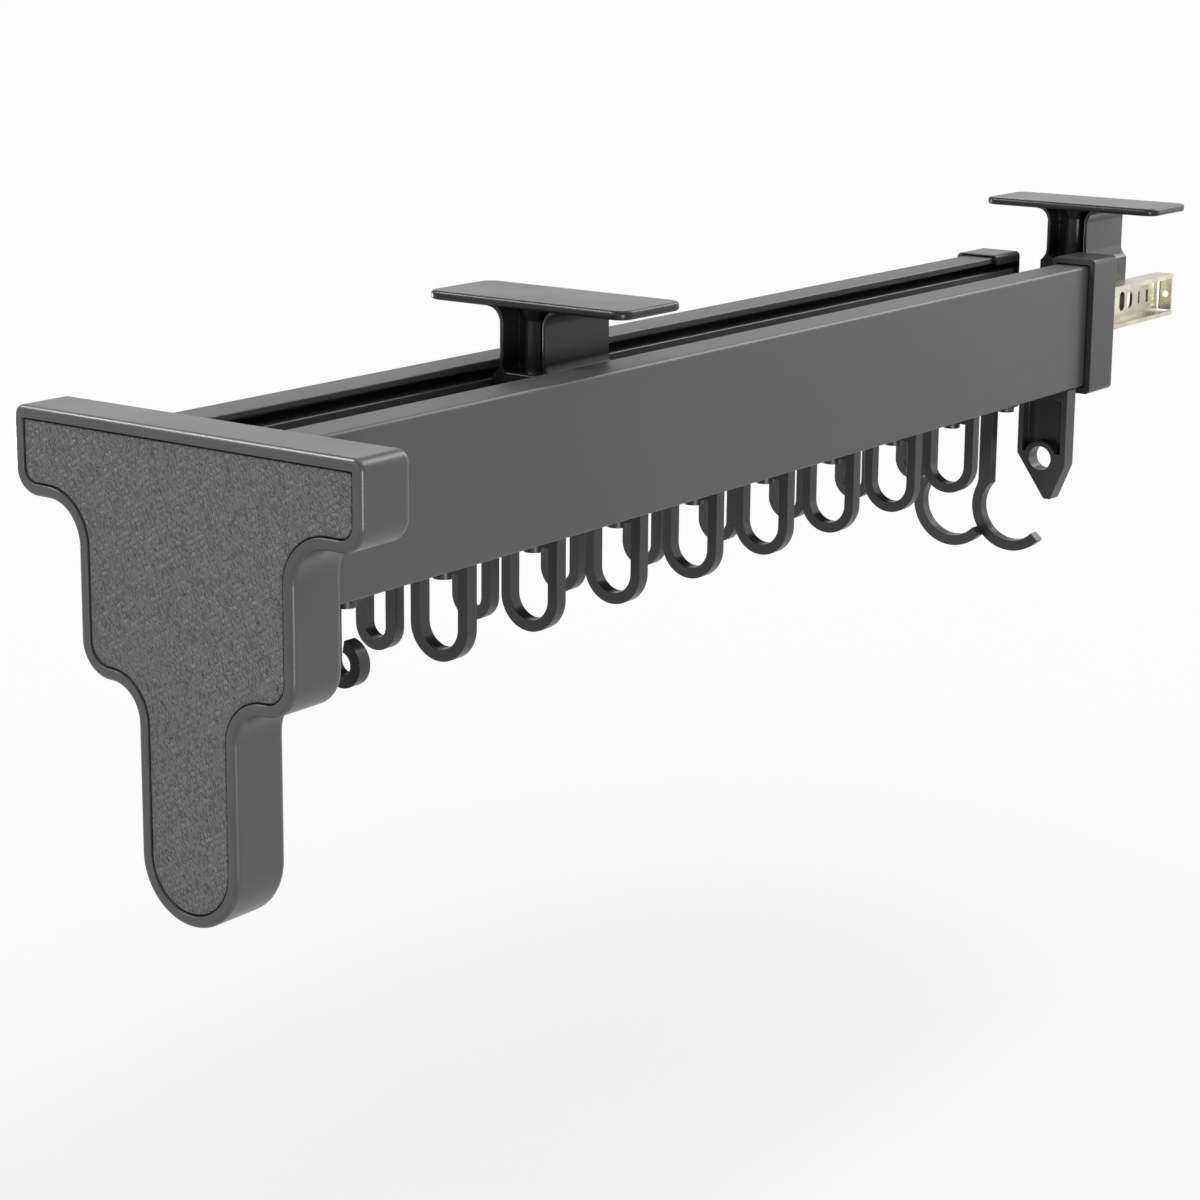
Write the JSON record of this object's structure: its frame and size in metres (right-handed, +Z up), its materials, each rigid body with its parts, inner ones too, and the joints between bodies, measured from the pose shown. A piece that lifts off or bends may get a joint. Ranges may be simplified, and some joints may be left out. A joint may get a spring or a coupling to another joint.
{
  "type": "pull-out hanging rack",
  "caption": "Ceiling-hung pull-out kitchen rack: stepped pull front, twin beams on ball-bearing rails under T hangers, rows of U hooks below.",
  "frame": {"origin": "centre of the top face of the front hanger plate, which lies against the cabinet ceiling", "axes": "+Z up out of the hanger plates, +Y along the beams to the rear, the pull front faces -Y, +X to the right of a person who faces the front"},
  "size_m": [0.1334, 0.599, 0.164],
  "materials": {
    "beam_finish": "satin graphite anodised",
    "moulding": "fine satin moulded",
    "grained_insert": "leather grain, matt",
    "bracket_paint": "satin powder coat",
    "inner_tie": "satin graphite anodised",
    "rail_zinc": "bright zinc plated",
    "cage_steel": "yellow passivated strip",
    "ball_steel": "polished",
    "screw_black": "black oxide",
    "screw_zinc": "zinc plated",
    "hook_plastic": "satin moulded"
  },
  "bodies": {
    "fixed_hanger": {"front_hanger": "bracket_paint", "rear_hanger": "bracket_paint", "near_outer_rail": "rail_zinc", "far_outer_rail": "rail_zinc", "rail_screws": "screw_zinc"},
    "ball_cages": {"near_ball_cage": "cage_steel", "far_ball_cage": "cage_steel", "near_balls": "ball_steel", "far_balls": "ball_steel"},
    "rack": {"bottom_tie": "inner_tie", "curl_hook": "hook_plastic", "far_beam": "beam_finish", "far_hook_1": "hook_plastic", "far_hook_2": "hook_plastic", "far_hook_3": "hook_plastic", "far_hook_4": "hook_plastic", "far_hook_5": "hook_plastic", "far_hook_6": "hook_plastic", "far_hook_7": "hook_plastic", "far_hook_8": "hook_plastic", "far_inner_rail": "rail_zinc", "far_large_hook": "hook_plastic", "far_rear_cap": "moulding", "fascia_frame": "moulding", "fascia_insert": "grained_insert", "front_block": "inner_tie", "front_screws": "screw_zinc", "hook_screws": "screw_black", "inner_rail_screws": "screw_zinc", "near_beam": "beam_finish", "near_hook_1": "hook_plastic", "near_hook_2": "hook_plastic", "near_hook_3": "hook_plastic", "near_hook_4": "hook_plastic", "near_hook_5": "hook_plastic", "near_hook_6": "hook_plastic", "near_hook_7": "hook_plastic", "near_hook_8": "hook_plastic", "near_inner_rail": "rail_zinc", "near_large_hook": "hook_plastic", "near_rear_cap": "moulding", "wedge_hook": "hook_plastic", "wedge_screw": "screw_zinc"}
  },
  "joints": [
    {"name": "rack_pull", "type": "slide", "parent": "fixed_hanger", "child": "rack", "axis": [0, -1, 0], "range_m": [-0.081, 0.23]},
    {"name": "cage_roll", "type": "slide", "parent": "fixed_hanger", "child": "ball_cages", "axis": [0, -1, 0], "range_m": [-0.0405, 0.115]}
  ],
  "couplings": [
    {"joint": "cage_roll", "follows": "rack_pull", "ratio": 0.5}
  ]
}
